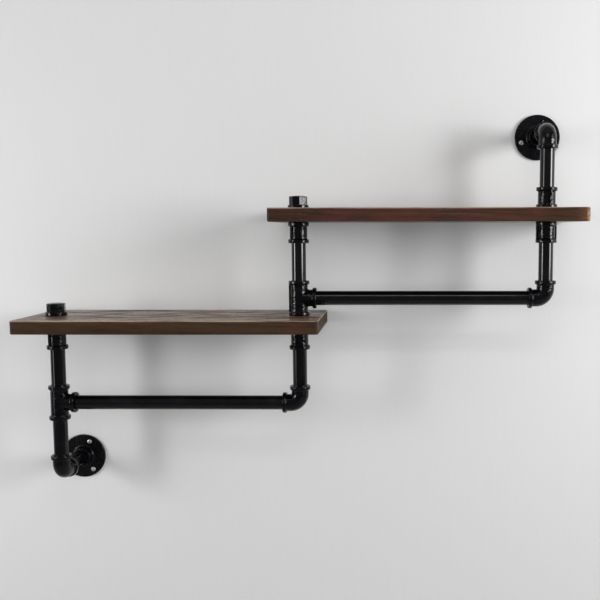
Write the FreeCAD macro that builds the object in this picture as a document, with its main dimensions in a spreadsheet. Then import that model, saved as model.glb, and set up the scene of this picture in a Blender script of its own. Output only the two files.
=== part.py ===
import FreeCAD, Part
import math
import os

import Sketcher

# Staggered wall shelf on one run of three-quarter-inch pipe, in millimetres.
# Origin: centre of the lower wall flange's back face. +X right, +Y into the wall, +Z up.

sizes = {
    # pipe and its tapered threads
    "pipe_diameter": 26.9,
    "pipe_wall": 2.6,
    "pipe_end_bevel": 0.8,
    "thread_engagement": 15,
    "thread_taper": 16,  # length over which the thread's diameter falls by one unit
    # cut lengths
    "nipple_length": 100,
    "wall_nipple_length": 89,
    "rail_length": 426,
    # malleable iron fittings
    "centre_to_face": 33,
    "bend_radius": 18,
    "body_diameter": 32.6,
    "branch_diameter": 31.8,
    "branch_fillet": 3,
    "passage_diameter": 22,
    "mouth_bevel": 1,
    "bead_diameter": 39,
    "bead_width": 7.5,
    "bead_round": 1.8,
    "bead_root": 1.2,
    "coupling_length": 39,
    "rib_width": 4,
    "rib_step": 0.3,  # how far a rib stays below the bead it runs between
    # caps
    "cap_height": 24.5,
    "cap_flats": 31.5,
    "cap_crown": 4,
    "cap_dome": 1.6,  # drop of the domed crown from its middle to the flats
    "cap_trim": 1,  # how far the dome's cutter stands above the crown
    "cap_round": 0.8,
    # wall flanges
    "flange_diameter": 89,
    "flange_plate": 4.5,
    "flange_height": 18,
    "flange_rim_round": 1.5,
    "boss_foot_diameter": 41,
    "boss_diameter": 36,
    "boss_foot_round": 4,
    "boss_round": 1,
    "screw_circle": 67,
    "screw_count": 3,
    "screw_hole_clearance": 1,
    # pan-head wood screws: a smooth neck through the flange, then the thread in the wall
    "screw_diameter": 4.5,
    "screw_neck_diameter": 3.3,
    "screw_length": 40,
    "screw_point": 7,
    "screw_head_diameter": 9,
    "screw_head_height": 3,
    "screw_head_dome": 1.6,
    "recess_width": 1.1,
    "recess_span": 4.6,
    "recess_depth": 1.7,
    # boards
    "board_thickness": 25,
    "board_depth": 200,
    "board_round": 2.5,
    "board_corner_round": 5.5,
    "board_hole_clearance": 1.1,
    "wall_gap": 2,
    "lower_left_overhang": 47,
    "lower_right_overhang": 44,
    "upper_left_overhang": 45,
    "upper_right_overhang": 60,
    # the angle at which each screwed-on piece came tight, in degrees
    "lower_flange_turn": 66,
    "upper_flange_turn": 78,
    "left_coupling_turn": 62,
    "centre_lower_coupling_turn": 75,
    "centre_upper_coupling_turn": 50,
    "right_lower_coupling_turn": 4,
    "right_upper_coupling_turn": 105,
    "left_cap_turn": 11,
    "centre_cap_turn": 37,
}

# Lengths that follow from the sizes, as expressions.
pipe_radius = "Sizes.pipe_diameter / 2"
pipe_bore_radius = "(Sizes.pipe_diameter / 2 - Sizes.pipe_wall)"
thread_end_radius = "(Sizes.pipe_diameter - Sizes.thread_engagement / Sizes.thread_taper) / 2"
board_nipple_length = "(Sizes.board_thickness + 2 * Sizes.thread_engagement)"
nipple_between = "(Sizes.nipple_length - 2 * Sizes.thread_engagement)"
post_spacing = "(Sizes.rail_length - 2 * Sizes.thread_engagement + 2 * Sizes.centre_to_face)"
wall_nipple_start = "(Sizes.flange_height - Sizes.thread_engagement)"
pipe_reach = (
    f"({wall_nipple_start} + Sizes.wall_nipple_length"
    " - Sizes.thread_engagement + Sizes.centre_to_face)"
)

# Heights up the pipe run.
rail_to_board = f"(Sizes.centre_to_face + {nipple_between} + Sizes.coupling_length)"
lower_rail_height = f"(2 * Sizes.centre_to_face + {nipple_between})"
lower_board_bottom = f"({lower_rail_height} + {rail_to_board})"
lower_board_top = f"({lower_board_bottom} + Sizes.board_thickness)"
upper_rail_height = f"({lower_board_top} + Sizes.centre_to_face)"
upper_board_bottom = f"({upper_rail_height} + {rail_to_board})"
upper_board_top = f"({upper_board_bottom} + Sizes.board_thickness)"
upper_flange_height = f"({upper_board_top} + {rail_to_board})"

# Posts, left to right.
left_post = "0"
centre_post = post_spacing
right_post = f"(2 * {post_spacing})"

# Ways a piece can be turned from its own frame into the shelf's.
upright = "rotation(vector(0; 0; 1); 0)"
along_rail = "rotation(vector(0; 1; 0); 90)"
out_of_wall = "rotation(vector(1; 0; 0); 90)"
up_from_wall = "rotation(vector(0; 0; 1); 90)"
down_from_wall = "rotation(vector(1; 1; 0); 180)"
up_from_rail = "rotation(vector(0; 0; 1); 180)"

doc = FreeCAD.newDocument("pipe_shelf")
sheet = doc.addObject("Spreadsheet::Sheet", "Sizes")
for row, (alias, value) in enumerate(sizes.items(), start=1):
    sheet.set(f"A{row}", alias)
    sheet.set(f"B{row}", str(value))
    sheet.setAlias(f"B{row}", alias)
doc.recompute()

sub_parts = []


def number(expression):
    """Value of an expression on the sheet."""
    return float(sheet.evalExpression(expression.replace("Sizes.", "")))


def turned(angle):
    """Turn about the piece's own upright axis by an angle of the sheet."""
    return f"rotation(vector(0; 0; 1); {angle})"


def new_body(label):
    body = doc.addObject("PartDesign::Body", label)
    body.Label = label
    sub_parts.append(body)
    return body


def put(body, across, out, up, turn):
    """Places a body: across along the wall, out from the wall, and up."""
    body.setExpression("Placement", f"placement(vector({across}; -({out}); {up}); {turn})")


def new_sketch(body, name, role, offset=None):
    """Sketch on one of the body's own origin planes, moved out by an expression if given."""
    sketch = body.newObject("Sketcher::SketchObject", name)
    plane = next(item for item in body.Origin.OriginFeatures if item.Role == role)
    sketch.AttachmentSupport = [(plane, "")]
    sketch.MapMode = "FlatFace"
    if offset:
        sketch.setExpression("AttachmentOffset.Base.z", offset)
    return sketch


def pin_point(sketch, edge, end, across, up):
    """Ties one point of a sketch to two expressions, measured from its origin."""
    for kind, expression, axis in (("DistanceX", across, -2), ("DistanceY", up, -1)):
        value = number(expression)
        if abs(value) < 1e-9:
            sketch.addConstraint(Sketcher.Constraint("PointOnObject", edge, end, axis))
            continue
        if value > 0:
            rule = Sketcher.Constraint(kind, -1, 1, edge, end, value)
        else:
            rule = Sketcher.Constraint(kind, edge, end, -1, 1, -value)
            expression = f"-({expression})"
        index = sketch.addConstraint(rule)
        sketch.setExpression(f"Constraints[{index}]", expression)


def draw_outline(sketch, corners):
    """Closed outline of straight lines through corners given as pairs of expressions."""
    points = [FreeCAD.Vector(number(across), number(up), 0) for across, up in corners]
    count = len(corners)
    lines = [
        sketch.addGeometry(Part.LineSegment(points[i], points[(i + 1) % count]))
        for i in range(count)
    ]
    for i, line in enumerate(lines):
        sketch.addConstraint(Sketcher.Constraint("Coincident", line, 2, lines[(i + 1) % count], 1))
    for line, (across, up) in zip(lines, corners):
        pin_point(sketch, line, 1, across, up)


def draw_circle(sketch, across, up, radius):
    centre = FreeCAD.Vector(number(across), number(up), 0)
    circle = sketch.addGeometry(Part.Circle(centre, FreeCAD.Vector(0, 0, 1), number(radius)))
    pin_point(sketch, circle, 3, across, up)
    index = sketch.addConstraint(Sketcher.Constraint("Radius", circle, number(radius)))
    sketch.setExpression(f"Constraints[{index}]", radius)


def revolve(body, kind, name, corners, axis):
    """Turns an outline in the XZ plane about H_Axis (the body's X) or V_Axis (its Z)."""
    sketch = new_sketch(body, name + "Outline", "XZ_Plane")
    draw_outline(sketch, corners)
    feature = body.newObject(kind, name)
    feature.Profile = sketch
    feature.ReferenceAxis = (sketch, [axis])
    feature.Angle = 360
    doc.recompute()
    return feature


def pad(body, name, sketch, length, both_ways=False):
    feature = body.newObject("PartDesign::Pad", name)
    feature.Profile = sketch
    feature.setExpression("Length", length)
    feature.Midplane = both_ways
    doc.recompute()
    return feature


def pocket(body, name, sketch, depth, reverse=False):
    """Cuts a sketch into the body, and stops if nothing was cut."""
    before = body.Shape.Volume
    feature = body.newObject("PartDesign::Pocket", name)
    feature.Profile = sketch
    feature.setExpression("Length", depth)
    feature.Reversed = reverse
    doc.recompute()
    if not feature.Shape.Volume < before:
        raise RuntimeError(f"{body.Label}: {name} cut nothing")
    return feature


def round_edges(body, name, radius, wanted):
    """Fillets the edges of the body for which wanted(edge) is true."""
    base = body.Tip
    edges = [f"Edge{i}" for i, edge in enumerate(base.Shape.Edges, start=1) if wanted(edge)]
    feature = body.newObject("PartDesign::Fillet", name)
    feature.Base = (base, edges)
    feature.setExpression("Radius", radius)
    doc.recompute()
    return feature


def ring(radius, places=None):
    """Test for whole circles of one radius, at given distances along the body's X or Z."""
    size = number(radius)
    spots = None if places is None else [number(place) for place in places]

    def wanted(edge):
        if not isinstance(edge.Curve, Part.Circle) or abs(edge.Curve.Radius - size) > 1e-4:
            return False
        centre = edge.Curve.Center
        along = centre.z if abs(edge.Curve.Axis.z) > 0.5 else centre.x
        return spots is None or any(abs(along - spot) < 1e-4 for spot in spots)

    return wanted


# ---- what all fittings share: a beaded mouth and a tapered socket behind it

def along_axis(axis, radius, distance):
    """Corner of an outline about H_Axis or V_Axis."""
    return (distance, radius) if axis == "H_Axis" else (radius, distance)


def add_bead(body, name, axis, face, sign):
    """Solid bead that ends at a mouth's face; sign is the way the mouth looks."""
    back = f"({face} - ({sign}) * Sizes.bead_width)"
    corners = [
        along_axis(axis, "0", back),
        along_axis(axis, "Sizes.bead_diameter / 2", back),
        along_axis(axis, "Sizes.bead_diameter / 2", face),
        along_axis(axis, "0", face),
    ]
    revolve(body, "PartDesign::Revolution", name, corners, axis)
    return back


def cut_socket(body, name, axis, face, sign):
    """Bevelled mouth and the tapered seat of one pipe end."""
    bevel = f"({face} - ({sign}) * Sizes.mouth_bevel)"
    bottom = f"({face} - ({sign}) * Sizes.thread_engagement)"
    bevel_radius = "(Sizes.pipe_diameter - Sizes.mouth_bevel / Sizes.thread_taper) / 2"
    corners = [
        along_axis(axis, "0", face),
        along_axis(axis, "Sizes.pipe_diameter / 2 + Sizes.mouth_bevel", face),
        along_axis(axis, bevel_radius, bevel),
        along_axis(axis, thread_end_radius, bottom),
        along_axis(axis, "0", bottom),
    ]
    revolve(body, "PartDesign::Groove", name, corners, axis)


def finish_beads(body, axis_backs):
    """Rounds the beads' outer edges and the roots where they meet the fitting's body."""
    round_edges(body, "BeadRounds", "Sizes.bead_round", ring("Sizes.bead_diameter / 2"))
    round_edges(body, "BeadRoots", "Sizes.bead_root", ring("Sizes.body_diameter / 2", axis_backs))


# ---- pipes

def make_pipe(label, length, across, out, up, turn):
    """Straight pipe along the body's Z with a tapered, bevelled thread at each end."""
    body = new_body(label)
    seat = "Sizes.thread_engagement"
    bevel = "Sizes.pipe_end_bevel"
    end_radius = f"({thread_end_radius} - {bevel})"
    bevel_radius = f"({thread_end_radius} + {bevel} / Sizes.thread_taper / 2)"
    corners = [
        (pipe_bore_radius, "0"),
        (end_radius, "0"),
        (bevel_radius, bevel),
        (pipe_radius, seat),
        (pipe_radius, f"{length} - {seat}"),
        (bevel_radius, f"{length} - {bevel}"),
        (end_radius, length),
        (pipe_bore_radius, length),
    ]
    revolve(body, "PartDesign::Revolution", "Tube", corners, "V_Axis")
    put(body, across, out, up, turn)


# ---- fittings

def make_elbow(label, across, out, up, turn):
    """Elbow with one arm along the body's X and one along its Z."""
    body = new_body(label)
    face = "Sizes.centre_to_face"
    bend = "Sizes.bend_radius"

    def pipe_along_bend(kind, name, diameter):
        path = new_sketch(body, name + "Path", "XZ_Plane")
        reach, radius = number(face), number(bend)
        first = path.addGeometry(
            Part.LineSegment(FreeCAD.Vector(reach, 0, 0), FreeCAD.Vector(radius, 0, 0))
        )
        circle = Part.Circle(
            FreeCAD.Vector(radius, radius, 0), FreeCAD.Vector(0, 0, 1), radius
        )
        turn_arc = path.addGeometry(Part.ArcOfCircle(circle, math.pi, 1.5 * math.pi))
        last = path.addGeometry(
            Part.LineSegment(FreeCAD.Vector(0, radius, 0), FreeCAD.Vector(0, reach, 0))
        )
        path.addConstraint(Sketcher.Constraint("Tangent", first, 2, turn_arc, 2))
        path.addConstraint(Sketcher.Constraint("Tangent", turn_arc, 1, last, 1))
        pin_point(path, first, 1, face, "0")
        pin_point(path, last, 2, "0", face)
        path.addConstraint(Sketcher.Constraint("Horizontal", first))
        path.addConstraint(Sketcher.Constraint("Vertical", last))
        index = path.addConstraint(Sketcher.Constraint("Radius", turn_arc, radius))
        path.setExpression(f"Constraints[{index}]", bend)
        section = new_sketch(body, name + "Section", "YZ_Plane", face)
        draw_circle(section, "0", "0", diameter)
        feature = body.newObject(kind, name)
        feature.Profile = section
        feature.Spine = (path, [])
        doc.recompute()

    pipe_along_bend("PartDesign::AdditivePipe", "Bend", "Sizes.body_diameter / 2")
    back = add_bead(body, "SideBead", "H_Axis", face, "1")
    add_bead(body, "TopBead", "V_Axis", face, "1")
    finish_beads(body, [back])
    pipe_along_bend("PartDesign::SubtractivePipe", "Passage", "Sizes.passage_diameter / 2")
    cut_socket(body, "SideSocket", "H_Axis", face, "1")
    cut_socket(body, "TopSocket", "V_Axis", face, "1")
    put(body, across, out, up, turn)


def make_tee(label, across, out, up, ribbed):
    """Tee with its run along the body's Z and its branch along X."""
    body = new_body(label)
    face = "Sizes.centre_to_face"
    foot = "-Sizes.centre_to_face"

    run = new_sketch(body, "RunSection", "XY_Plane")
    draw_circle(run, "0", "0", "Sizes.body_diameter / 2")
    pad(body, "Run", run, f"2 * {face}", both_ways=True)
    branch = new_sketch(body, "BranchSection", "YZ_Plane")
    draw_circle(branch, "0", "0", "Sizes.branch_diameter / 2")
    pad(body, "Branch", branch, face)
    branch_radius = number("Sizes.branch_diameter / 2")
    round_edges(
        body, "Crotch", "Sizes.branch_fillet",
        lambda edge: not isinstance(edge.Curve, (Part.Circle, Part.Line))
        and edge.BoundBox.ZLength > branch_radius,
    )
    back = add_bead(body, "TopBead", "V_Axis", face, "1")
    foot_back = add_bead(body, "FootBead", "V_Axis", foot, "-1")
    add_bead(body, "BranchBead", "H_Axis", face, "1")
    finish_beads(body, [back, foot_back])
    round_edges(
        body, "BranchRoot", "Sizes.bead_root", ring("Sizes.branch_diameter / 2", [back])
    )
    if ribbed:
        rib = new_sketch(body, "RibSection", "XY_Plane")
        rib_reach = "-(Sizes.bead_diameter / 2 - Sizes.rib_step)"
        draw_outline(rib, [
            (rib_reach, "-Sizes.rib_width / 2"),
            ("0", "-Sizes.rib_width / 2"),
            ("0", "Sizes.rib_width / 2"),
            (rib_reach, "Sizes.rib_width / 2"),
        ])
        pad(body, "Rib", rib, f"2 * {face} - Sizes.bead_width", both_ways=True)

    passage = new_sketch(body, "PassageSection", "XY_Plane", foot)
    draw_circle(passage, "0", "0", "Sizes.passage_diameter / 2")
    pocket(body, "Passage", passage, f"2 * {face}", reverse=True)
    side = new_sketch(body, "SidePassageSection", "YZ_Plane")
    draw_circle(side, "0", "0", "Sizes.passage_diameter / 2")
    pocket(body, "SidePassage", side, face, reverse=True)
    cut_socket(body, "TopSocket", "V_Axis", face, "1")
    cut_socket(body, "FootSocket", "V_Axis", foot, "-1")
    cut_socket(body, "BranchSocket", "H_Axis", face, "1")
    put(body, across, out, up, upright)


def make_coupling(label, across, out, up, turn_angle):
    """Straight coupling along the body's Z from 0, with two ribs along X."""
    body = new_body(label)
    length = "Sizes.coupling_length"
    barrel = new_sketch(body, "BarrelSection", "XY_Plane")
    draw_circle(barrel, "0", "0", "Sizes.body_diameter / 2")
    pad(body, "Barrel", barrel, length)
    foot_back = add_bead(body, "FootBead", "V_Axis", "0", "-1")
    top_back = add_bead(body, "TopBead", "V_Axis", length, "1")
    finish_beads(body, [foot_back, top_back])

    ribs = new_sketch(body, "RibSection", "XY_Plane", "Sizes.bead_width / 2")
    rib_reach = "(Sizes.bead_diameter / 2 - Sizes.rib_step)"
    draw_outline(ribs, [
        (f"-{rib_reach}", "-Sizes.rib_width / 2"),
        (rib_reach, "-Sizes.rib_width / 2"),
        (rib_reach, "Sizes.rib_width / 2"),
        (f"-{rib_reach}", "Sizes.rib_width / 2"),
    ])
    pad(body, "Ribs", ribs, f"{length} - Sizes.bead_width")

    passage = new_sketch(body, "PassageSection", "XY_Plane")
    draw_circle(passage, "0", "0", "Sizes.passage_diameter / 2")
    pocket(body, "Passage", passage, length, reverse=True)
    cut_socket(body, "FootSocket", "V_Axis", "0", "-1")
    cut_socket(body, "TopSocket", "V_Axis", length, "1")
    put(body, across, out, up, turned(turn_angle))


def make_cap(label, across, out, up, turn_angle):
    """Octagonal cap, its mouth at the body's origin and its domed crown up."""
    body = new_body(label)
    height = "Sizes.cap_height"
    corner_radius = "Sizes.cap_flats / 2 / cos(22.5)"
    octagon = new_sketch(body, "OctagonSection", "XY_Plane")
    draw_outline(octagon, [
        (f"{corner_radius} * cos({45 * k + 22.5})", f"{corner_radius} * sin({45 * k + 22.5})")
        for k in range(8)
    ])
    pad(body, "Octagon", octagon, height)
    add_bead(body, "Bead", "V_Axis", "0", "-1")
    round_edges(body, "BeadRounds", "Sizes.bead_round", ring("Sizes.bead_diameter / 2"))

    # the dome: what stands above a shallow arc is turned away
    trim = new_sketch(body, "DomeOutline", "XZ_Plane")
    reach = "Sizes.cap_flats"
    rim_drop = "(4 * Sizes.cap_dome)"
    dome_radius = f"(({reach}^2 + {rim_drop}^2) / (2 * {rim_drop}))"
    lid = f"({height} + Sizes.cap_trim)"
    crown_point = FreeCAD.Vector(0, number(height), 0)
    rim_point = FreeCAD.Vector(number(reach), number(f"{height} - {rim_drop}"), 0)
    half_way = number(reach) / 2
    drop = number(dome_radius) - math.sqrt(number(dome_radius) ** 2 - half_way ** 2)
    middle = FreeCAD.Vector(half_way, number(height) - drop, 0)
    arc = trim.addGeometry(Part.Arc(rim_point, middle, crown_point))
    above = FreeCAD.Vector(0, number(lid), 0)
    corner = FreeCAD.Vector(number(reach), number(lid), 0)
    rise = trim.addGeometry(Part.LineSegment(crown_point, above))
    top = trim.addGeometry(Part.LineSegment(above, corner))
    fall = trim.addGeometry(Part.LineSegment(corner, rim_point))
    trim.addConstraint(Sketcher.Constraint("Coincident", arc, 2, rise, 1))
    trim.addConstraint(Sketcher.Constraint("Coincident", rise, 2, top, 1))
    trim.addConstraint(Sketcher.Constraint("Coincident", top, 2, fall, 1))
    trim.addConstraint(Sketcher.Constraint("Coincident", fall, 2, arc, 1))
    pin_point(trim, rise, 1, "0", height)
    pin_point(trim, rise, 2, "0", lid)
    pin_point(trim, top, 2, reach, lid)
    pin_point(trim, fall, 2, reach, f"{height} - {rim_drop}")
    trim.addConstraint(Sketcher.Constraint("PointOnObject", arc, 3, -2))
    dome = body.newObject("PartDesign::Groove", "Dome")
    dome.Profile = trim
    dome.ReferenceAxis = (trim, ["V_Axis"])
    dome.Angle = 360
    doc.recompute()
    half_height = number(height) / 2
    inscribed = number("Sizes.cap_flats / 2")
    round_edges(
        body, "CrownRound", "Sizes.cap_round",
        lambda edge: edge.BoundBox.ZMin > half_height
        and all(math.hypot(point.X, point.Y) > inscribed for point in edge.Vertexes),
    )

    passage = new_sketch(body, "PassageSection", "XY_Plane")
    draw_circle(passage, "0", "0", "Sizes.passage_diameter / 2")
    pocket(body, "Passage", passage, f"{height} - Sizes.cap_crown", reverse=True)
    cut_socket(body, "Socket", "V_Axis", "0", "-1")
    put(body, across, out, up, turned(turn_angle))


def make_flange(label, across, up, turn_angle):
    """Floor flange: back face at the body's origin, boss along its Z."""
    body = new_body(label)
    plate = "Sizes.flange_plate"
    height = "Sizes.flange_height"
    rim = "Sizes.flange_diameter / 2"
    corners = [
        ("0", "0"),
        (rim, "0"),
        (rim, plate),
        ("Sizes.boss_foot_diameter / 2", plate),
        ("Sizes.boss_diameter / 2", height),
        ("0", height),
    ]
    revolve(body, "PartDesign::Revolution", "Plate", corners, "V_Axis")
    round_edges(body, "RimRound", "Sizes.flange_rim_round", ring(rim, [plate]))
    round_edges(
        body, "BossFoot", "Sizes.boss_foot_round", ring("Sizes.boss_foot_diameter / 2")
    )
    round_edges(body, "BossRound", "Sizes.boss_round", ring("Sizes.boss_diameter / 2"))

    hole = new_sketch(body, "ScrewHoleSection", "XY_Plane")
    hole_radius = "(Sizes.screw_diameter + Sizes.screw_hole_clearance) / 2"
    draw_circle(hole, "Sizes.screw_circle / 2", "0", hole_radius)
    first_hole = pocket(body, "ScrewHole", hole, plate, reverse=True)
    repeat_round(body, "ScrewHoles", [first_hole])

    passage = new_sketch(body, "PassageSection", "XY_Plane")
    draw_circle(passage, "0", "0", "Sizes.passage_diameter / 2")
    pocket(body, "Passage", passage, height, reverse=True)
    cut_socket(body, "Socket", "V_Axis", height, "1")
    put(body, across, "0", up, f"{out_of_wall} * {turned(turn_angle)}")


def repeat_round(body, name, features):
    """Repeats features about the body's Z, once for each screw."""
    pattern = body.newObject("PartDesign::PolarPattern", name)
    pattern.Originals = features
    axis = next(item for item in body.Origin.OriginFeatures if item.Role == "Z_Axis")
    pattern.Axis = (axis, [""])
    pattern.Angle = 360
    pattern.setExpression("Occurrences", "Sizes.screw_count")
    body.Tip = pattern
    doc.recompute()
    return pattern


def make_screws(label, across, up, turn_angle):
    """The wood screws of one flange, heads on its plate and points in the wall."""
    body = new_body(label)
    centre = "Sizes.screw_circle / 2"
    seat = "Sizes.flange_plate"
    tip = f"({seat} - Sizes.screw_length)"
    outline = new_sketch(body, "ScrewOutline", "XZ_Plane")
    corners = [
        (centre, tip),
        (f"{centre} + Sizes.screw_diameter / 2", f"{tip} + Sizes.screw_point"),
        (f"{centre} + Sizes.screw_diameter / 2", "0"),
        (f"{centre} + Sizes.screw_neck_diameter / 2", "0"),
        (f"{centre} + Sizes.screw_neck_diameter / 2", seat),
        (f"{centre} + Sizes.screw_head_diameter / 2", seat),
        (f"{centre} + Sizes.screw_head_diameter / 2",
         f"{seat} + Sizes.screw_head_height - Sizes.screw_head_dome"),
        (f"{centre} + Sizes.screw_head_diameter / 2 - Sizes.screw_head_dome",
         f"{seat} + Sizes.screw_head_height"),
        (centre, f"{seat} + Sizes.screw_head_height"),
    ]
    draw_outline(outline, corners)
    screw = body.newObject("PartDesign::Revolution", "Screw")
    screw.Profile = outline
    screw.ReferenceAxis = (outline, [f"Edge{len(corners)}"])
    screw.Angle = 360
    doc.recompute()

    cross = new_sketch(body, "RecessSection", "XY_Plane", f"{seat} + Sizes.screw_head_height")
    arm, half = "Sizes.recess_span / 2", "Sizes.recess_width / 2"
    cross_corners = [
        (arm, half), (half, half), (half, arm), (f"-{half}", arm),
        (f"-{half}", half), (f"-{arm}", half), (f"-{arm}", f"-{half}"),
        (f"-{half}", f"-{half}"), (f"-{half}", f"-{arm}"), (half, f"-{arm}"),
        (half, f"-{half}"), (arm, f"-{half}"),
    ]
    draw_outline(cross, [(f"{centre} + {x}", y) for x, y in cross_corners])
    recess = pocket(body, "Recess", cross, "Sizes.recess_depth")
    repeat_round(body, "Screws", [screw, recess])
    put(body, across, "0", up, f"{out_of_wall} * {turned(turn_angle)}")


# ---- boards

def make_board(label, left_overhang, right_overhang, across, up):
    """Board with two pipe holes; the body's origin is the left hole at its underside."""
    body = new_body(label)
    left = f"-({left_overhang})"
    right = f"({post_spacing} + {right_overhang})"
    back = f"({pipe_reach} - Sizes.wall_gap)"
    front = f"({back} - Sizes.board_depth)"
    plan = new_sketch(body, "BoardPlan", "XY_Plane")
    draw_outline(plan, [(left, front), (right, front), (right, back), (left, back)])
    pad(body, "Plank", plan, "Sizes.board_thickness")
    half_thickness = number("Sizes.board_thickness / 2")
    round_edges(body, "RoundedCorners", "Sizes.board_corner_round",
                lambda edge: edge.BoundBox.ZLength > half_thickness)
    round_edges(body, "EasedEdges", "Sizes.board_round",
                lambda edge: edge.BoundBox.ZLength < half_thickness)
    holes = new_sketch(body, "PipeHoles", "XY_Plane")
    hole_radius = "(Sizes.pipe_diameter + Sizes.board_hole_clearance) / 2"
    draw_circle(holes, "0", "0", hole_radius)
    draw_circle(holes, post_spacing, "0", hole_radius)
    pocket(body, "PipeHolesCut", holes, "Sizes.board_thickness", reverse=True)
    put(body, across, pipe_reach, up, upright)


# ---- the shelf, from the lower wall flange up the pipe run

nipple = "Sizes.nipple_length"
seat = "Sizes.thread_engagement"
arm = "Sizes.centre_to_face"
coupling = "Sizes.coupling_length"

make_flange("lower_wall_flange", left_post, "0", "Sizes.lower_flange_turn")
make_screws("lower_flange_screws", left_post, "0", "Sizes.lower_flange_turn")
make_pipe("lower_wall_nipple", "Sizes.wall_nipple_length", left_post, wall_nipple_start, "0",
          out_of_wall)
make_elbow("lower_wall_elbow", left_post, pipe_reach, "0", up_from_wall)

# left post: wall elbow, tee, coupling, lower board, cap
make_pipe("left_post_bottom_nipple", nipple, left_post, pipe_reach, f"{arm} - {seat}", upright)
make_tee("left_post_tee", left_post, pipe_reach, lower_rail_height, ribbed=False)
make_pipe("left_post_top_nipple", nipple, left_post, pipe_reach,
          f"{lower_rail_height} + {arm} - {seat}", upright)
make_coupling("left_post_coupling", left_post, pipe_reach,
              f"{lower_board_bottom} - {coupling}", "Sizes.left_coupling_turn")
make_pipe("left_board_nipple", board_nipple_length, left_post, pipe_reach,
          f"{lower_board_bottom} - {seat}", upright)
make_cap("left_post_cap", left_post, pipe_reach, lower_board_top, "Sizes.left_cap_turn")

# lower rail and the lower half of the centre post
make_pipe("lower_rail", "Sizes.rail_length", f"{left_post} + {arm} - {seat}", pipe_reach,
          lower_rail_height, along_rail)
make_elbow("lower_rail_elbow", centre_post, pipe_reach, lower_rail_height, up_from_rail)
make_pipe("centre_post_bottom_nipple", nipple, centre_post, pipe_reach,
          f"{lower_rail_height} + {arm} - {seat}", upright)
make_coupling("centre_post_lower_coupling", centre_post, pipe_reach,
              f"{lower_board_bottom} - {coupling}", "Sizes.centre_lower_coupling_turn")
make_pipe("centre_lower_board_nipple", board_nipple_length, centre_post, pipe_reach,
          f"{lower_board_bottom} - {seat}", upright)

# upper half of the centre post: tee on the lower board, coupling, upper board, cap
make_tee("centre_post_tee", centre_post, pipe_reach, upper_rail_height, ribbed=True)
make_pipe("centre_post_top_nipple", nipple, centre_post, pipe_reach,
          f"{upper_rail_height} + {arm} - {seat}", upright)
make_coupling("centre_post_upper_coupling", centre_post, pipe_reach,
              f"{upper_board_bottom} - {coupling}", "Sizes.centre_upper_coupling_turn")
make_pipe("centre_upper_board_nipple", board_nipple_length, centre_post, pipe_reach,
          f"{upper_board_bottom} - {seat}", upright)
make_cap("centre_post_cap", centre_post, pipe_reach, upper_board_top, "Sizes.centre_cap_turn")

# upper rail and right post
make_pipe("upper_rail", "Sizes.rail_length", f"{centre_post} + {arm} - {seat}", pipe_reach,
          upper_rail_height, along_rail)
make_elbow("upper_rail_elbow", right_post, pipe_reach, upper_rail_height, up_from_rail)
make_pipe("right_post_bottom_nipple", nipple, right_post, pipe_reach,
          f"{upper_rail_height} + {arm} - {seat}", upright)
make_coupling("right_post_lower_coupling", right_post, pipe_reach,
              f"{upper_board_bottom} - {coupling}", "Sizes.right_lower_coupling_turn")
make_pipe("right_board_nipple", board_nipple_length, right_post, pipe_reach,
          f"{upper_board_bottom} - {seat}", upright)
make_coupling("right_post_upper_coupling", right_post, pipe_reach, upper_board_top,
              "Sizes.right_upper_coupling_turn")
make_pipe("right_post_top_nipple", nipple, right_post, pipe_reach,
          f"{upper_board_top} + {coupling} - {seat}", upright)

# back to the wall at the top
make_elbow("upper_wall_elbow", right_post, pipe_reach, upper_flange_height, down_from_wall)
make_pipe("upper_wall_nipple", "Sizes.wall_nipple_length", right_post, wall_nipple_start,
          upper_flange_height, out_of_wall)
make_flange("upper_wall_flange", right_post, upper_flange_height, "Sizes.upper_flange_turn")
make_screws("upper_flange_screws", right_post, upper_flange_height, "Sizes.upper_flange_turn")

make_board("lower_board", "Sizes.lower_left_overhang", "Sizes.lower_right_overhang",
           left_post, lower_board_bottom)
make_board("upper_board", "Sizes.upper_left_overhang", "Sizes.upper_right_overhang",
           centre_post, upper_board_bottom)

# ---- check and write

doc.recompute()
for item in doc.Objects:
    if "Invalid" in item.State or "Error" in item.State:
        raise RuntimeError(f"{item.Name} failed: {item.State}")
for body in sub_parts:
    if body.Shape.isNull() or not body.Shape.isValid():
        raise RuntimeError(f"{body.Label} has no valid shape")

os.makedirs("parts", exist_ok=True)
for body in sub_parts:
    body.Shape.exportStep(f"parts/{body.Label}.step")
print(len(sub_parts), "sub-parts written")
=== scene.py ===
import math

import bmesh
import bpy
from mathutils import Matrix, Vector


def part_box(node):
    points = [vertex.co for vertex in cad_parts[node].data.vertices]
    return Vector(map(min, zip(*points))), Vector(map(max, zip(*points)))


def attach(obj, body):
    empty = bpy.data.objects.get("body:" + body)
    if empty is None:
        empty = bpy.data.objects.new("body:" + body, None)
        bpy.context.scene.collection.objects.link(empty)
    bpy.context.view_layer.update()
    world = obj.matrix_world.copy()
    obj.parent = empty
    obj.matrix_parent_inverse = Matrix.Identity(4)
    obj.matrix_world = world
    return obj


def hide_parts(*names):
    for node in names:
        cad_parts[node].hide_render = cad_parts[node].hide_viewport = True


# Staggered wall shelf: two stained boards on one run of black pipe. Metres, wall at y = 0.

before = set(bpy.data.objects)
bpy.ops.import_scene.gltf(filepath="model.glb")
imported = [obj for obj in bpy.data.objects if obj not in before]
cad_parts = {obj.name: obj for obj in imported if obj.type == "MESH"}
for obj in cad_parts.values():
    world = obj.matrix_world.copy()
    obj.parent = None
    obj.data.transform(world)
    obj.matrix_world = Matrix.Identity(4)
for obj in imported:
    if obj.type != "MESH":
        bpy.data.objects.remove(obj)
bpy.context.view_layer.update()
print("frame:", len(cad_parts), "nodes")


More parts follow.
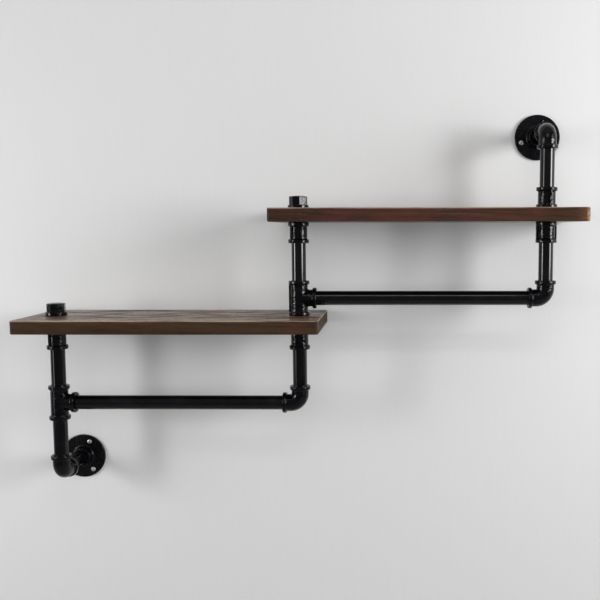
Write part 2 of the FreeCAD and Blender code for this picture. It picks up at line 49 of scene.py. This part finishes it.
class Wire:
    # one socket that can be added, taken away, multiplied and shaped like a number

    def __init__(self, recipe, socket):
        self.recipe = recipe
        self.socket = socket

    def maths(self, operation, *values):
        return self.recipe.put("Math", {"operation": operation}, dict(enumerate(values)))

    def __add__(self, other):
        return self.maths("ADD", self, other)

    def __sub__(self, other):
        return self.maths("SUBTRACT", self, other)

    def __rsub__(self, other):
        return self.maths("SUBTRACT", other, self)

    def __mul__(self, other):
        return self.maths("MULTIPLY", self, other)

    def __truediv__(self, other):
        return self.maths("DIVIDE", self, other)

    def __pow__(self, other):
        return self.maths("POWER", self, other)

    def __abs__(self):
        return self.maths("ABSOLUTE", self)

    __radd__ = __add__
    __rmul__ = __mul__

    def atLeast(self, other):
        return self.maths("MAXIMUM", self, other)

    def atMost(self, other):
        return self.maths("MINIMUM", self, other)

    def fraction(self):
        return self.maths("FRACT", self)

    def ramp(self, low, high):  # 0 below low, 1 above high, eased between
        return self.recipe.put(
            "MapRange", {"interpolation_type": "SMOOTHSTEP"},
            {"Value": self, "From Min": low, "From Max": high},
        )


class Recipe:
    # a material (or the world) and the nodes that make it

    def __init__(self, holder):
        holder.use_nodes = True
        self.holder = holder
        self.tree = holder.node_tree
        self.tree.nodes.clear()

    def put(self, kind, settings=None, sockets=None, output=0):
        node = self.tree.nodes.new("ShaderNode" + kind)
        for name, value in (settings or {}).items():
            setattr(node, name, value)
        for name, value in (sockets or {}).items():
            if isinstance(value, Wire):
                self.tree.links.new(value.socket, node.inputs[name])
            else:
                node.inputs[name].default_value = value
        return Wire(self, node.outputs[output]) if len(node.outputs) else None

    def place(self):  # where a point is on its own object
        return self.put("TexCoord", {}, {}, "Object")

    def spread(self, place, scale, shift=(0, 0, 0)):  # stretches a place before a pattern
        return self.put("Mapping", {}, {"Vector": place, "Location": shift, "Scale": scale})

    def split(self, vector):
        outputs = self.put("SeparateXYZ", {}, {"Vector": vector}).socket.node.outputs
        return [Wire(self, outputs[axis]) for axis in "XYZ"]

    def noise(self, place, size, detail, rough):  # size is the width of one blotch, in metres
        sockets = {"Vector": place, "Scale": 1 / size, "Detail": detail, "Roughness": rough}
        return self.put("TexNoise", {}, sockets)

    def tint(self, share, first, second):
        settings = {"data_type": "RGBA", "blend_type": "MIX"}
        return self.put("Mix", settings, {0: share, 6: first, 7: second}, 2)

    def bump(self, height, depth, under=None):  # depth in metres for a height of one
        sockets = {"Height": height, "Distance": depth, "Strength": 1.0}
        if under is not None:
            sockets["Normal"] = under
        return self.put("Bump", {}, sockets)

    def surface(self, sockets):
        return self.put("BsdfPrincipled", {}, sockets)

    def finishWith(self, shader):
        self.put("OutputMaterial", {}, {"Surface": shader})
        return self.holder


def blend(shares, *wires):  # the sum of the wires, each times its share
    total = wires[0] * shares[0]
    for share, wire in zip(shares[1:], wires[1:]):
        total = total + wire * share
    return total


pipePaintLook = {
    "black": (0.0011, 0.0012, 0.0019, 1.0),
    "dusty": (0.0042, 0.0044, 0.0055, 1.0),
    "dustSize": 0.035,
    "dustRange": (0.45, 0.75),
    "roughness": 0.12,
    "roughnessDrift": 0.08,
    "ior": 1.38,
    "peelSize": 0.0034,
    "peelDepth": 0.00002,
    "dragSize": 0.0022,
    "dragDepth": 0.00001,
}


def makePipePaint():
    look = pipePaintLook
    paint = Recipe(bpy.data.materials.new("glossBlackPipePaint"))
    place = paint.place()
    dust = paint.noise(place, look["dustSize"], detail=4.0, rough=0.6).ramp(*look["dustRange"])
    peel = paint.noise(place, look["peelSize"], detail=2.0, rough=0.45)
    drag = paint.noise(place, look["dragSize"], detail=3.0, rough=0.6)
    relief = paint.bump(peel, look["peelDepth"], paint.bump(drag, look["dragDepth"]))
    return paint.finishWith(paint.surface({
        "Base Color": paint.tint(dust, look["black"], look["dusty"]),
        "Roughness": dust * look["roughnessDrift"] + look["roughness"],
        "IOR": look["ior"],
        "Normal": relief,
    }))


castPaintLook = {
    "black": (0.0013, 0.0015, 0.0023, 1.0),
    "worn": (0.0047, 0.0049, 0.0062, 1.0),
    "wornSize": 0.012,
    "wornRange": (0.5, 0.72),
    "roughness": 0.07,
    "flangeRoughness": 0.26,  # the flanges took the paint duller
    "roughnessDrift": 0.1,
    "ior": 1.31,
    "swellSize": 0.014,
    "swellDepth": 0.001,
    "lumpSize": 0.0046,
    "lumpDepth": 0.0007,
    "grainSize": 0.0014,
    "grainDepth": 0.00005,
}


def makeCastPaint(name, roughness):
    look = castPaintLook
    paint = Recipe(bpy.data.materials.new(name))
    place = paint.place()
    swell = paint.noise(place, look["swellSize"], detail=2.0, rough=0.5)
    lumps = paint.noise(place, look["lumpSize"], detail=3.0, rough=0.5)
    grain = paint.noise(place, look["grainSize"], detail=3.0, rough=0.6)
    worn = paint.noise(place, look["wornSize"], detail=4.0, rough=0.65).ramp(*look["wornRange"])
    relief = paint.bump(swell, look["swellDepth"])
    relief = paint.bump(lumps, look["lumpDepth"], relief)
    relief = paint.bump(grain, look["grainDepth"], relief)
    return paint.finishWith(paint.surface({
        "Base Color": paint.tint(worn * grain, look["black"], look["worn"]),
        "Roughness": worn * look["roughnessDrift"] + roughness,
        "IOR": look["ior"],
        "Normal": relief,
    }))


zincLook = {
    "bright": (0.78, 0.78, 0.75, 1.0),
    "dull": (0.52, 0.52, 0.5, 1.0),
    "blotchSize": 0.0016,
    "roughness": 0.27,
    "roughnessDrift": 0.2,
    "scratchSize": 0.0005,
    "scratchStretch": (1, 1, 5),
    "scratchDepth": 0.00002,
}


def makeZinc():
    look = zincLook
    zinc = Recipe(bpy.data.materials.new("brightZincPlate"))
    place = zinc.place()
    blotch = zinc.noise(place, look["blotchSize"], detail=3.0, rough=0.6)
    drawn = zinc.spread(place, look["scratchStretch"])
    scratch = zinc.noise(drawn, look["scratchSize"], detail=2.0, rough=0.6)
    return zinc.finishWith(zinc.surface({
        "Base Color": zinc.tint(blotch, look["dull"], look["bright"]),
        "Metallic": 1.0,
        "Roughness": blotch * look["roughnessDrift"] + look["roughness"],
        "Normal": zinc.bump(scratch, look["scratchDepth"]),
    }))


boardLook = {
    "dark": (0.024, 0.0115, 0.0065, 1.0),
    "middle": (0.052, 0.0262, 0.0142, 1.0),
    # painted sheen: the pale tone painted on the tops, for their light and reflection
    "pale": (0.37, 0.222, 0.145, 1.0),
    "red": (0.082, 0.0265, 0.0185, 1.0),
    "olive": (0.05, 0.029, 0.0135, 1.0),
    "amber": (0.14, 0.065, 0.026, 1.0),
    "endPale": (0.072, 0.054, 0.04, 1.0),
    "endDark": (0.012, 0.009, 0.007, 1.0),
    "paleEdgeColour": (0.38, 0.29, 0.22, 1.0),
    "leftCornerShade": (0.036, 0.037, 0.04, 1.0),
    "ringGap": 0.0095,
    "ringWander": 0.03,
    "ringRipple": 0.009,
    "ringDarkens": (0.25, 0.8),  # shares of a ring's width
    "ringClears": (0.9, 1.0),
    "ringShare": 0.35,
    "bendStretch": (2.2, 13, 13),
    "bendWidth": 1.0,  # after the stretch
    "rippleWidth": 0.026,
    "rippleLength": 3,
    "heartSlope": 0.045,  # how fast the middle of the tree sinks along the board
    "streakWidth": 0.0042,
    "streakLength": 26,  # how much longer than wide a streak is
    "bandWidth": 0.034,
    "bandLength": 9,
    "figureWidth": 0.03,
    "figureLength": 8,
    "figureDepth": 0.0009,
    "patchWidth": 0.035,
    "patchLength": 3.5,
    "oliveRange": (0.4, 0.6),
    "redRange": (0.32, 0.62),
    "blushRange": (0.3, 0.6),
    "amberShares": (0.65, 0.35),  # with the grain, and everywhere
    "grainShares": (0.5, 0.3, 0.2),  # streaks, bands, figure
    "grainRange": (0.38, 0.62),
    "poreWidth": 0.0006,
    "poreLength": 30,
    "poreRange": (0.34, 0.44),
    "poreShare": 0.5,
    "poreDepth": 0.00018,
    "streakDepth": 0.00022,
    "ringDepth": 0.0009,
    "speckle": 0.0042,
    "speckleRange": (0.44, 0.56),
    "endShares": (0.3, 0.8),  # rings, speckle
    "facingTop": (0.5, 0.95),
    "facingEnd": (0.8, 0.99),
    "topSheen": 1.0,  # painted sheen: the tops are painted paler than the fronts, for the light on them and the wall their varnish reflects
    "sheenShares": (0.6, 0.4),  # figure, streaks
    "sheenRange": (0.34, 0.54),
    "ringSheenCut": 0.9,  # the dark part of a ring gets less of the painted sheen
    "polishShares": (0.65, 0.35),  # ripple, bands
    "polishRange": (0.42, 0.57),
    "polishSheen": (0.6, 0.4),  # where polished, and everywhere
    "topDullness": 0.25,  # and take the light unevenly
    "edgeFade": 0.016,
    "edgeFadeShare": 0.6,
    "edgeRange": (0.15, 0.85),
    "edgeBreaks": (0.3, 0.5),
    "edgeShare": 0.8,
    "paintedBackShade": 0.03,
    "backShadeShare": 0.6,
    "cornerRange": (0.1, 0.8),
    "cornerShare": 0.7,
    "cornerPaleFade": 0.003,
    "cornerPaleShares": (0.65, 0.35),  # with the speckle, and everywhere
    "cornerPaleDepth": (0.01, 0.04),  # metres behind the front
    "roughness": 0.14,
    "roughnessDrift": 0.1,
    "smoothShare": 0.5,  # grain and hard rings lie smoother
    "endDulls": (0.05, 0.5),
    "endRoughness": 0.95,
    "ior": 1.3,
}


def makeBoardStain(name, box, cut):
    look = boardLook
    low, high = box
    stain = Recipe(bpy.data.materials.new(name))
    place = stain.place()
    along, across, up = stain.split(place)

    def stretched(width, length, detail, rough):  # noise drawn out along the board
        drawn = stain.spread(place, (1 / look[length], 1, 1), cut["shift"])
        return stain.noise(drawn, look[width], detail, rough)

    streaks = stretched("streakWidth", "streakLength", detail=4.0, rough=0.62)
    bands = stretched("bandWidth", "bandLength", detail=3.0, rough=0.55)
    figure = stretched("figureWidth", "figureLength", detail=3.0, rough=0.6)
    ripple = stretched("rippleWidth", "rippleLength", detail=3.0, rough=0.55)
    patches = stretched("patchWidth", "patchLength", detail=2.0, rough=0.5)
    pores = 1 - stretched("poreWidth", "poreLength", detail=2.0, rough=0.7).ramp(*look["poreRange"])

    # growth rings round a sloping line, so the faces show arcs and streaks and the ends show rings
    bend = stain.spread(place, look["bendStretch"], cut["shift"])
    bend = stain.noise(bend, look["bendWidth"], detail=3.0, rough=0.5)
    sink = along * look["heartSlope"] - (low[2] - cut["below"] - low[0] * look["heartSlope"])
    side = across - ((low[1] + high[1]) / 2 + cut["across"])
    radius = (side * side + (up + sink) ** 2) ** 0.5
    radius = radius + bend * look["ringWander"] + ripple * look["ringRipple"]
    rings = (radius / look["ringGap"]).fraction()
    lateWood = rings.ramp(*look["ringDarkens"]) * (1 - rings.ramp(*look["ringClears"]))

    faceX, faceY, faceZ = stain.split(stain.put("NewGeometry", {}, {}, "True Normal"))
    onTop = faceZ.ramp(*look["facingTop"])
    endGrain = abs(faceX).ramp(*look["facingEnd"])
    upper, rightward, leftward = faceZ.atLeast(0), faceX.atLeast(0), (faceX * -1).atLeast(0)
    rubbedAndLitEdge = (abs(faceY) * upper).atLeast(rightward * upper) * 2  # 1 halfway round an edge
    frontFade = (1 - (across - low[1]).ramp(0, look["edgeFade"])) * onTop
    # painted shade: the top darkens towards its back edge, by the wall
    paintedBackShade = (across - high[1] + look["paintedBackShade"]).ramp(0, look["paintedBackShade"]) * onTop

    grain = blend(look["grainShares"], streaks, bands, figure).ramp(*look["grainRange"])
    colour = stain.tint(grain, look["dark"], look["middle"])
    colour = stain.tint(lateWood * look["ringShare"], colour, look["dark"])
    olive = patches.ramp(*look["oliveRange"]) * cut["oliveness"]
    colour = stain.tint(olive, colour, look["olive"])
    red = (1 - patches.ramp(*look["redRange"])) * cut["redness"]
    colour = stain.tint(red, colour, look["red"])
    # a reddish band across the board at blushAt; on the lower board it sits at the centre post's
    # foot, painted shade and reflection of the post
    blush = 1 - abs(along - cut["blushAt"]).ramp(0, cut["blushWidth"])
    blush = blush * streaks.ramp(*look["blushRange"])
    colour = stain.tint(blush * cut["blush"], colour, look["red"])
    # partly the wood's own warmer tone, partly painted light from the right: the upper board turns
    # warmer and paler towards its right end
    withGrain, everywhere = look["amberShares"]
    amber = along.ramp(*cut["amberFrom"]) * (everywhere + grain * withGrain)
    colour = stain.tint(amber, colour, look["amber"])

    polished = blend(look["polishShares"], ripple, bands).ramp(*look["polishRange"])
    # painted sheen: the tops are painted paler, most where polished, for the light they take and
    # the wall they reflect
    paintedTopSheen = onTop * (1 - lateWood * look["ringSheenCut"])
    paintedTopSheen = paintedTopSheen * blend(look["sheenShares"], figure, streaks).ramp(*look["sheenRange"])
    whenPolished, everywhere = look["polishSheen"]
    paintedTopSheen = paintedTopSheen * (polished * whenPolished + everywhere) * look["topSheen"]
    colour = stain.tint(paintedTopSheen, colour, look["pale"])
    # painted shade along the back edge of the top
    colour = stain.tint(paintedBackShade * look["backShadeShare"], colour, look["dark"])
    colour = stain.tint(pores * look["poreShare"], colour, look["dark"])

    speckle = stain.noise(place, look["speckle"], detail=2.0, rough=0.6).ramp(*look["speckleRange"])
    endShare = blend(look["endShares"], lateWood, speckle).atMost(1)
    endColour = stain.tint(endShare, look["endDark"], look["endPale"])
    colour = stain.tint(endGrain, colour, endColour)
    # painted shade: the rounded corners that face left are painted a cool dark grey
    leftCorner = (leftward * abs(faceY) * 2).ramp(*look["cornerRange"])
    colour = stain.tint(leftCorner * look["cornerShare"], colour, look["leftCornerShade"])
    # partly real wear, partly painted highlight: the rounded upper edges at the front and the right
    # end, and a strip of the top along the front, are painted pale where they catch the light
    worn = (rubbedAndLitEdge.ramp(*look["edgeRange"]) + frontFade * look["edgeFadeShare"]).atMost(1)
    worn = worn * streaks.ramp(*look["edgeBreaks"])
    colour = stain.tint(worn * look["edgeShare"], colour, look["paleEdgeColour"])
    # the front corner at the right end is made paler, with the speckle
    withSpeckle, everywhere = look["cornerPaleShares"]
    paleRightCorner = (along - high[0] + cut["cornerReach"]).ramp(0, look["cornerPaleFade"])
    paleRightCorner = paleRightCorner * (everywhere + speckle * withSpeckle)
    paleRightCorner = paleRightCorner * (1 - (across - low[1]).ramp(*look["cornerPaleDepth"]))  # the front corner only
    colour = stain.tint(paleRightCorner * cut["cornerPaleness"], colour, look["paleEdgeColour"])

    relief = stain.bump(figure, look["figureDepth"])
    relief = stain.bump(streaks, look["streakDepth"], relief)
    relief = stain.bump(1 - lateWood, look["ringDepth"], relief)
    relief = stain.bump(1 - pores, look["poreDepth"], relief)
    drift = 1 - grain * look["smoothShare"] - lateWood * look["smoothShare"]
    gloss = drift * look["roughnessDrift"] + look["roughness"]
    gloss = gloss + onTop * (1 - polished) * look["topDullness"]
    endGloss = abs(faceX).ramp(*look["endDulls"]) * look["endRoughness"]
    return stain.finishWith(stain.surface({
        "Base Color": colour,
        "Roughness": gloss.atLeast(endGloss),
        "IOR": look["ior"],
        "Normal": relief,
    }))


pipePaint = makePipePaint()
castPaint = makeCastPaint("glossBlackCastPaint", castPaintLook["roughness"])
flangePaint = makeCastPaint("satinBlackFlangePaint", castPaintLook["flangeRoughness"])
zincPlate = makeZinc()
print("finishes: pipe paint, cast paint, flange paint, zinc")


def dress(nodeName, material):  # gives a CAD node a better material, its shape untouched
    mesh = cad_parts[nodeName].data
    for index in range(len(mesh.materials)):
        mesh.materials[index] = material


def dressPipes():
    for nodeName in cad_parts:
        words = nodeName.split("_")
        if "screws" in words or words[-1] == "board":
            continue
        if "flange" in words:
            dress(nodeName, flangePaint)
        elif any(word in words for word in ("elbow", "tee", "coupling", "cap")):
            dress(nodeName, castPaint)
        else:
            dress(nodeName, pipePaint)


boardGrain = {  # where each board was cut from its tree, and where its colour turns
    "lower_board": {
        "across": 0.022, "below": 0.03, "shift": (3.1, 0.4, 1.7),
        "redness": 0.1, "oliveness": 0.55,
        # the lower board's blush lies at the centre post's foot: painted shade and reflection of
        # the post
        "blushAt": 0.464, "blushWidth": 0.03, "blush": 0.6,
        "amberFrom": (0.9, 1.1), "cornerReach": 0.004, "cornerPaleness": 0.12,
    },
    "upper_board": {
        "across": -0.03, "below": 0.045, "shift": (11.3, 2.9, 5.2),
        "redness": 0.75, "oliveness": 0.25,
        "blushAt": 0.7, "blushWidth": 0.12, "blush": 0.25,
        "amberFrom": (0.955, 0.985), "cornerReach": 0.008, "cornerPaleness": 0.7,
    },
}

dressPipes()
for nodeName, cut in boardGrain.items():
    dress(nodeName, makeBoardStain("walnutStain_" + nodeName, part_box(nodeName), cut))
print("dressed: pipes, fittings and", len(boardGrain), "boards")


screwCut = {  # metres, measured out from the wall along the screw
    "circle": 0.067,
    "count": 3,
    "turns": {"lower_flange_screws": 66, "upper_flange_screws": 78},  # degrees
    "driveTurn": 37,  # degrees from one recess to the next, as each was driven by itself
    "blackHead": "upperWoodScrew1",  # this head is drawn in the black cast paint instead of zinc
    "seat": 0.0045,  # top of the flange plate
    "headRadius": 0.0045,
    "headHeight": 0.003,
    "dome": (  # radius as a share of the head's, height as a share of its own
        (1.0, 0.0), (1.0, 0.42), (0.985, 0.55), (0.94, 0.69),
        (0.86, 0.81), (0.74, 0.9), (0.58, 0.96), (0.34, 0.99),
    ),
    "neckRadius": 0.00165,
    "neckStart": 0.0003,
    "coreRadius": 0.0015,
    "crestRadius": 0.00222,
    "tip": -0.0355,
    "pointLength": 0.007,
    "pointCore": 0.12,  # the core's least share of its radius under the thread
    "pitch": 0.002,
    "threadStart": -0.0006,
    "threadStop": 0.001,  # short of the tip
    "threadSteps": 28,  # in one turn
    "threadRunIn": 14,  # steps
    "threadSunk": 0.9,  # the thread's foot lies inside the core
    "crestWidth": 0.0002,
    "rootWidth": 0.0009,
    "sides": 40,
    "sharpFrom": 32,  # degrees
    "recessSpan": 0.0046,
    "recessWidth": 0.0011,
    "recessDepth": 0.0017,
    "recessTaper": 0.62,
    "recessProud": 0.0005,  # the cutter stands out of the head
}


def spin(mesh, profile, sides):  # turns (radius, height) pairs round Z; radius 0 closes an end
    angles = [2 * math.pi * k / sides for k in range(sides)]
    rows = []
    for radius, height in profile:
        if radius == 0:
            rows.append([mesh.verts.new((0, 0, height))])
            continue
        ring = [(radius * math.cos(angle), radius * math.sin(angle), height) for angle in angles]
        rows.append([mesh.verts.new(place) for place in ring])
    for under, over in zip(rows, rows[1:]):
        for k in range(sides):
            after = (k + 1) % sides
            corners = [
                under[k % len(under)], under[after % len(under)],
                over[after % len(over)], over[k % len(over)],
            ]
            mesh.faces.new(list(dict.fromkeys(corners)))


def windThread(mesh, cut):  # a ridge with a narrow crest, running out to nothing at both ends
    low, high = cut["tip"] + cut["threadStop"], cut["threadStart"]
    steps = int((high - low) / cut["pitch"] * cut["threadSteps"])
    root, crest = cut["rootWidth"] / 2, cut["crestWidth"] / 2
    rows = []
    for step in range(steps + 1):
        height = high - (high - low) * step / steps
        angle = 2 * math.pi * step / cut["threadSteps"]
        fromTip = (height - cut["tip"]) / cut["pointLength"]
        core = cut["coreRadius"] * min(1, max(cut["pointCore"], fromTip))
        fullRise = cut["crestRadius"] - cut["coreRadius"]
        outer = core + fullRise * min(1, step / cut["threadRunIn"], fromTip)
        inner = core * cut["threadSunk"]
        row = []
        for radius, drop in ((inner, -root), (outer, -crest), (outer, crest), (inner, root)):
            place = (radius * math.cos(angle), radius * math.sin(angle), height + drop)
            row.append(mesh.verts.new(place))
        rows.append(row)
    for row, nextRow in zip(rows, rows[1:]):
        for k in range(len(row)):
            after = (k + 1) % len(row)
            mesh.faces.new((row[k], row[after], nextRow[after], nextRow[k]))
    mesh.faces.new(rows[0][::-1])
    mesh.faces.new(rows[-1])


def makeObject(name, mesh, material):
    bmesh.ops.recalc_face_normals(mesh, faces=mesh.faces)
    data = bpy.data.meshes.new(name)
    mesh.to_mesh(data)
    mesh.free()
    data.materials.append(material)
    thing = bpy.data.objects.new(name, data)
    bpy.context.scene.collection.objects.link(thing)
    return thing


def makeRecessTool(cut):  # a cross that narrows as it goes down
    mesh = bmesh.new()
    top = cut["seat"] + cut["headHeight"]
    arm, half = cut["recessSpan"] / 2, cut["recessWidth"] / 2
    outline = [
        (arm, half), (half, half), (half, arm), (-half, arm), (-half, half), (-arm, half),
        (-arm, -half), (-half, -half), (-half, -arm), (half, -arm), (half, -half), (arm, -half),
    ]
    over = [mesh.verts.new((x, y, top + cut["recessProud"])) for x, y in outline]
    taper, bottom = cut["recessTaper"], top - cut["recessDepth"]
    under = [mesh.verts.new((x * taper, y * taper, bottom)) for x, y in outline]
    for k in range(len(outline)):
        after = (k + 1) % len(outline)
        mesh.faces.new((over[k], over[after], under[after], under[k]))
    mesh.faces.new(over)
    mesh.faces.new(under[::-1])
    return makeObject("recessTool", mesh, zincPlate)


def makeScrewMesh(cut):
    seat, core = cut["seat"], cut["coreRadius"]
    profile = [(0, cut["tip"]), (core, cut["tip"] + cut["pointLength"]), (core, 0)]
    profile += [(cut["neckRadius"], cut["neckStart"]), (cut["neckRadius"], seat)]
    for wide, tall in cut["dome"]:
        profile.append((cut["headRadius"] * wide, seat + cut["headHeight"] * tall))
    profile.append((0, seat + cut["headHeight"]))
    mesh = bmesh.new()
    spin(mesh, profile, cut["sides"])
    blank = makeObject("screwBlank", mesh, zincPlate)
    tool = makeRecessTool(cut)
    carve = blank.modifiers.new("recess", "BOOLEAN")
    carve.operation, carve.solver, carve.object = "DIFFERENCE", "EXACT", tool
    evaluated = blank.evaluated_get(bpy.context.evaluated_depsgraph_get())
    carved = bpy.data.meshes.new_from_object(evaluated)
    for thing in (blank, tool):
        bpy.data.objects.remove(thing)
    mesh = bmesh.new()
    mesh.from_mesh(carved)
    windThread(mesh, cut)
    bmesh.ops.recalc_face_normals(mesh, faces=mesh.faces)
    mesh.to_mesh(carved)
    mesh.free()
    carved.polygons.foreach_set("use_smooth", [True] * len(carved.polygons))
    carved.set_sharp_from_angle(angle=math.radians(cut["sharpFrom"]))
    return carved


def placeScrews(cut):
    pattern = makeScrewMesh(cut)
    outOfWall = Matrix.Rotation(math.radians(90), 4, "X")
    for nodeName, turn in cut["turns"].items():
        low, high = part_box(nodeName.replace("flange_screws", "wall_flange"))
        centre = ((low[0] + high[0]) / 2, (low[2] + high[2]) / 2)
        for k in range(cut["count"]):
            angle = math.radians(turn + 360 * k / cut["count"])
            across = centre[0] + cut["circle"] / 2 * math.cos(angle)
            up = centre[1] + cut["circle"] / 2 * math.sin(angle)
            drive = Matrix.Rotation(math.radians(cut["driveTurn"] * k + turn), 4, "Z")
            mesh = pattern.copy()
            mesh.transform(Matrix.Translation((across, 0, up)) @ outOfWall @ drive)
            name = nodeName.replace("_flange_screws", "WoodScrew") + str(k + 1)
            if name == cut["blackHead"]:
                mesh.materials[0] = castPaint
            screw = bpy.data.objects.new(name, mesh)
            bpy.context.scene.collection.objects.link(screw)
            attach(screw, "root")
            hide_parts(nodeName)


placeScrews(screwCut)
print("wood screws:", screwCut["count"] * len(screwCut["turns"]))


wallLook = {
    "colour": (0.655, 0.655, 0.655, 1.0),
    "streaked": (0.647, 0.647, 0.647, 1.0),
    "streakWidth": 0.004,
    "streakLength": 30,
    "streakRange": (0.35, 0.7),
    "roughness": 0.7,
    "reach": 16.0,
    "gap": 0.0005,  # how far behind the flanges the wall stands
}


def makeWallPaint():
    look = wallLook
    wall = Recipe(bpy.data.materials.new("paleWall"))
    drawn = wall.spread(wall.place(), (1, 1, 1 / look["streakLength"]))
    streak = wall.noise(drawn, look["streakWidth"], detail=4.0, rough=0.6)
    streak = streak.ramp(*look["streakRange"])
    colour = wall.tint(streak, look["colour"], look["streaked"])
    paint = wall.surface({"Base Color": colour, "Roughness": look["roughness"]})
    behind = wall.put("NewGeometry", {}, {}, "Backfacing")  # from behind, the wall is clear
    clear = wall.put("BsdfTransparent")
    return wall.finishWith(wall.put("MixShader", {}, {0: behind, 1: paint, 2: clear}))


floorLook = {
    "colour": (0.4, 0.4, 0.4, 1.0),
    "clouded": (0.375, 0.375, 0.375, 1.0),
    "cloudWidth": 0.12,
    "cloudRange": (0.35, 0.7),
    "roughness": 0.8,
    "drop": 1.4,
}


def makeFloorPaint():
    look = floorLook
    floor = Recipe(bpy.data.materials.new("paleFloor"))
    cloud = floor.noise(floor.place(), look["cloudWidth"], detail=5.0, rough=0.6)
    cloud = cloud.ramp(*look["cloudRange"])
    colour = floor.tint(cloud, look["colour"], look["clouded"])
    return floor.finishWith(floor.surface({"Base Color": colour, "Roughness": look["roughness"]}))


def makeSheet(name, corners, material):
    mesh = bmesh.new()
    mesh.faces.new([mesh.verts.new(corner) for corner in corners])
    data = bpy.data.meshes.new(name)
    mesh.to_mesh(data)
    mesh.free()
    data.materials.append(material)
    sheet = bpy.data.objects.new(name, data)
    bpy.context.scene.collection.objects.link(sheet)


def makeStage():
    reach, back, ground = wallLook["reach"], wallLook["gap"], -floorLook["drop"]
    wallCorners = [
        (-reach, back, ground), (reach, back, ground), (reach, back, reach), (-reach, back, reach),
    ]
    makeSheet("wall", wallCorners, makeWallPaint())
    floorCorners = [
        (-reach, -reach, ground), (reach, -reach, ground),
        (reach, reach, ground), (-reach, reach, ground),
    ]
    makeSheet("floor", floorCorners, makeFloorPaint())


lamps = {  # place and aim, width and height in metres, power in watts
    "leftWindow": {
        "place": (-3.7, -2.2, 1.1), "aim": (0.3, -0.1, 0.5), "size": (1.4, 2.2), "watts": 62,
    },
    "leftPanel": {
        "place": (-0.96, -0.85, 0.37), "aim": (0.3, -0.1, 0.37), "size": (0.16, 0.4), "watts": 5.2,
    },
    "leftPanelLow": {
        "place": (-0.96, -0.85, 0.02), "aim": (0.3, -0.1, 0.02), "size": (0.16, 0.3), "watts": 1.1,
    },
    "rightWindow": {
        "place": (4.2, -1.9, 0.95), "aim": (0.6, -0.1, 0.3), "size": (1.7, 1.6), "watts": 126,
    },
    "rightPanel": {
        "place": (1.72, -0.65, 0.69), "aim": (0.7, -0.1, 0.69), "size": (0.14, 0.36), "watts": 3,
    },
    "rightPanelLow": {
        "place": (1.72, -0.65, 0.34), "aim": (0.7, -0.1, 0.34), "size": (0.16, 0.34), "watts": 1.1,
    },
    "corner": {
        "place": (-2.5, -2.8, 1.6), "aim": (0.4, -0.1, 0.3), "size": (1.4, 1.0), "watts": 3,
    },
    "room": {
        "place": (0.5, -3.5, 0.7), "aim": (0.5, -0.1, 0.35), "size": (3.0, 1.6), "watts": 13,
        "mirrored": False,  # so that it leaves no broad patch in the gloss
    },
    "hall": {
        "place": (0.72, -1.7, 1.76), "aim": (0.7, -0.1, 0.34), "size": (1.0, 0.12), "watts": 4,
    },
    "ceiling": {
        "place": (0.46, -0.9, 2.3), "aim": (0.46, -0.3, 0.3), "size": (2.4, 1.2), "watts": 2.6,
    },
}
roomGlow = 0.23  # light that comes from nowhere in particular


def placeLamps():
    for name, lamp in lamps.items():
        light = bpy.data.lights.new(name, "AREA")
        light.shape = "RECTANGLE"
        light.size, light.size_y = lamp["size"]
        light.energy = lamp["watts"]
        thing = bpy.data.objects.new(name, light)
        thing.location = lamp["place"]
        aim = Vector(lamp["aim"]) - Vector(lamp["place"])
        thing.rotation_euler = aim.to_track_quat("-Z", "Y").to_euler()
        thing.visible_glossy = lamp.get("mirrored", True)
        bpy.context.scene.collection.objects.link(thing)


def fillRoom():
    world = bpy.data.worlds.new("room")
    bpy.context.scene.world = world
    room = Recipe(world)
    air = room.put("Background", {}, {"Color": (1.0, 1.0, 1.0, 1.0), "Strength": roomGlow})
    room.put("OutputWorld", {}, {"Surface": air})


makeStage()
placeLamps()
fillRoom()
bpy.context.scene.view_settings.view_transform = "Standard"
print("stage: wall, floor,", len(lamps), "lamps")


cameraLook = {
    "place": (0.63952, -1.58567, 0.46235),
    "turnLeft": 0.0154,  # radians
    "lookDown": 0.0866,
    "lean": -0.0017,
    "focal": 787.09,  # in the units of frame
    "middle": (381.345, 298.903),
    "frame": 600,
    "sensor": 36,
}


def placeCamera():
    look = cameraLook
    data = bpy.data.cameras.new("camera")
    data.sensor_width = look["sensor"]
    data.lens = look["focal"] * look["sensor"] / look["frame"]
    data.shift_x = 0.5 - look["middle"][0] / look["frame"]
    data.shift_y = look["middle"][1] / look["frame"] - 0.5
    camera = bpy.data.objects.new("camera", data)
    turn = Matrix.Rotation(look["turnLeft"], 4, "Z")
    tilt = Matrix.Rotation(math.pi / 2 - look["lookDown"], 4, "X")
    lean = Matrix.Rotation(look["lean"], 4, "Z")
    camera.matrix_world = Matrix.Translation(look["place"]) @ turn @ tilt @ lean
    bpy.context.scene.collection.objects.link(camera)
    bpy.context.scene.camera = camera


placeCamera()
